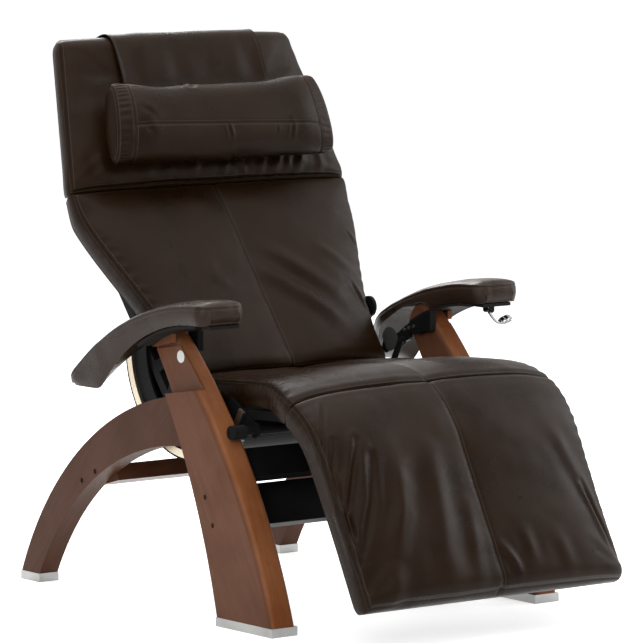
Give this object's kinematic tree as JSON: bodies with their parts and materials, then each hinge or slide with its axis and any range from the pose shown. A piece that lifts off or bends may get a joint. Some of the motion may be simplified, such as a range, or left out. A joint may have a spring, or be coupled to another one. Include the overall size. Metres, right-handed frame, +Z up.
{
  "type": "massage recliner chair",
  "caption": "Reclining massage chair: arched wooden side frames carry a leather seat, back and leg rest that tip as one unit on curved rails; arms, lever and head pillow move.",
  "frame": {"origin": "on the floor, at the middle of the bounding box in X and Y", "axes": "+X is the sitter's left, -Y the way the sitter faces, +Z up"},
  "size_m": [0.818, 1.1804, 1.142],
  "materials": {
    "leather": "soft grained, satin",
    "walnut": "stained, satin lacquer",
    "satin_metal": "satin",
    "black_steel": "semi-gloss black",
    "black_tube": "black coated",
    "steel": "brushed",
    "champagne": "satin champagne",
    "rubber": "matte",
    "gloss_shell": "gloss",
    "black_plastic": "fine texture",
    "black_ply": "black stained board",
    "grey_cover": "smooth",
    "chrome": "polished"
  },
  "bodies": {
    "frame": {"front_leg_left": "walnut", "front_leg_right": "walnut", "rear_leg_left": "walnut", "rear_leg_right": "walnut", "post_panels": "walnut", "badge_discs": "satin_metal", "front_foot_caps": "satin_metal", "rear_foot_caps": "satin_metal", "rear_cross_bar": "walnut", "lower_cross_channel": "black_steel", "upper_cross_channel": "black_steel", "leg_bolts": "black_steel", "roller_axles": "steel", "brake_caliper": "black_steel", "arm_pivot_pins": "steel"},
    "front_rollers": {"front_rollers": "black_plastic"},
    "rear_rollers": {"rear_rollers": "black_plastic"},
    "recline_unit": {"side_plate_left": "black_steel", "side_plate_right": "black_steel", "curved_rail_left": "champagne", "curved_rail_right": "champagne", "rail_treads": "rubber", "rear_shell": "gloss_shell", "seat_frame": "black_tube", "seat_pan": "black_ply", "stop_bar": "black_tube", "stop_caps": "rubber", "brake_strip": "steel", "back_frame": "black_tube", "back_board": "black_ply", "back_cover": "black_plastic", "massage_motors": "steel", "legrest_frame": "black_tube", "legrest_board": "black_ply", "seat_cushion": "leather", "legrest_cushion": "leather", "lower_back_cushion": "leather", "head_cushion": "leather", "pillow_flap": "leather"},
    "pillow": {"head_pillow": "leather"},
    "counterweight": {"pillow_counterweight": "leather"},
    "arm_left": {"arm_pad_left": "leather", "arm_board_left": "black_ply", "arm_bracket_left": "black_steel", "arm_block_left": "walnut", "link_cover_left": "grey_cover", "bracket_bolts_left": "steel", "lever_mount": "black_steel"},
    "arm_right": {"arm_pad_right": "leather", "arm_board_right": "black_ply", "arm_bracket_right": "black_steel", "arm_block_right": "walnut", "link_cover_right": "grey_cover", "bracket_bolts_right": "steel"},
    "arm_link_left": {"arm_link_left": "black_steel"},
    "arm_link_right": {"arm_link_right": "black_steel"},
    "lever": {"recline_lever": "chrome"}
  },
  "joints": [
    {"name": "recline", "type": "hinge", "parent": "frame", "child": "recline_unit", "pos_m": [0, 0.0647, 0.516], "axis": [-1, 0, 0], "range_deg": [0, 30]},
    {"name": "front_roller_spin", "type": "hinge", "parent": "frame", "child": "front_rollers", "pos_m": [0, -0.10422, 0.36391], "axis": [-1, 0, 0], "range_deg": [-545, 10]},
    {"name": "rear_roller_spin", "type": "hinge", "parent": "frame", "child": "rear_rollers", "pos_m": [0, 0.21382, 0.34446], "axis": [-1, 0, 0], "range_deg": [-545, 10]},
    {"name": "arm_left_tilt", "type": "hinge", "parent": "frame", "child": "arm_left", "pos_m": [0.33, 0.0467, 0.535], "axis": [-1, 0, 0], "range_deg": [0, 12.5]},
    {"name": "arm_right_tilt", "type": "hinge", "parent": "frame", "child": "arm_right", "pos_m": [-0.33, 0.0467, 0.535], "axis": [-1, 0, 0], "range_deg": [0, 12.5]},
    {"name": "arm_link_left_swing", "type": "hinge", "parent": "arm_left", "child": "arm_link_left", "pos_m": [0.289, 0.1527, 0.498], "axis": [-1, 0, 0], "range_deg": [-6, 1]},
    {"name": "arm_link_right_swing", "type": "hinge", "parent": "arm_right", "child": "arm_link_right", "pos_m": [-0.289, 0.1527, 0.498], "axis": [-1, 0, 0], "range_deg": [-6, 1]},
    {"name": "lever_pull", "type": "hinge", "parent": "arm_left", "child": "lever", "pos_m": [0.338, -0.1253, 0.583], "axis": [0, -1, 0], "range_deg": [0, 12], "stiffness_Nm_per_rad": 0.8, "springref_deg": -8.59},
    {"name": "pillow_slide", "type": "slide", "parent": "recline_unit", "child": "pillow", "axis": [0, 0.3907, 0.9205], "range_m": [-0.06, 0.02]},
    {"name": "counterweight_slide", "type": "slide", "parent": "recline_unit", "child": "counterweight", "axis": [0, 0.3907, 0.9205], "range_m": [-0.02, 0.06]}
  ],
  "couplings": [
    {"joint": "front_roller_spin", "follows": "recline", "ratio": -17.917},
    {"joint": "rear_roller_spin", "follows": "recline", "ratio": -17.917},
    {"joint": "arm_left_tilt", "follows": "recline", "ratio": 0.4},
    {"joint": "arm_right_tilt", "follows": "recline", "ratio": 0.4},
    {"joint": "arm_link_left_swing", "follows": "recline", "ratio": -0.16},
    {"joint": "arm_link_right_swing", "follows": "recline", "ratio": -0.16},
    {"joint": "counterweight_slide", "follows": "pillow_slide", "ratio": -1}
  ]
}
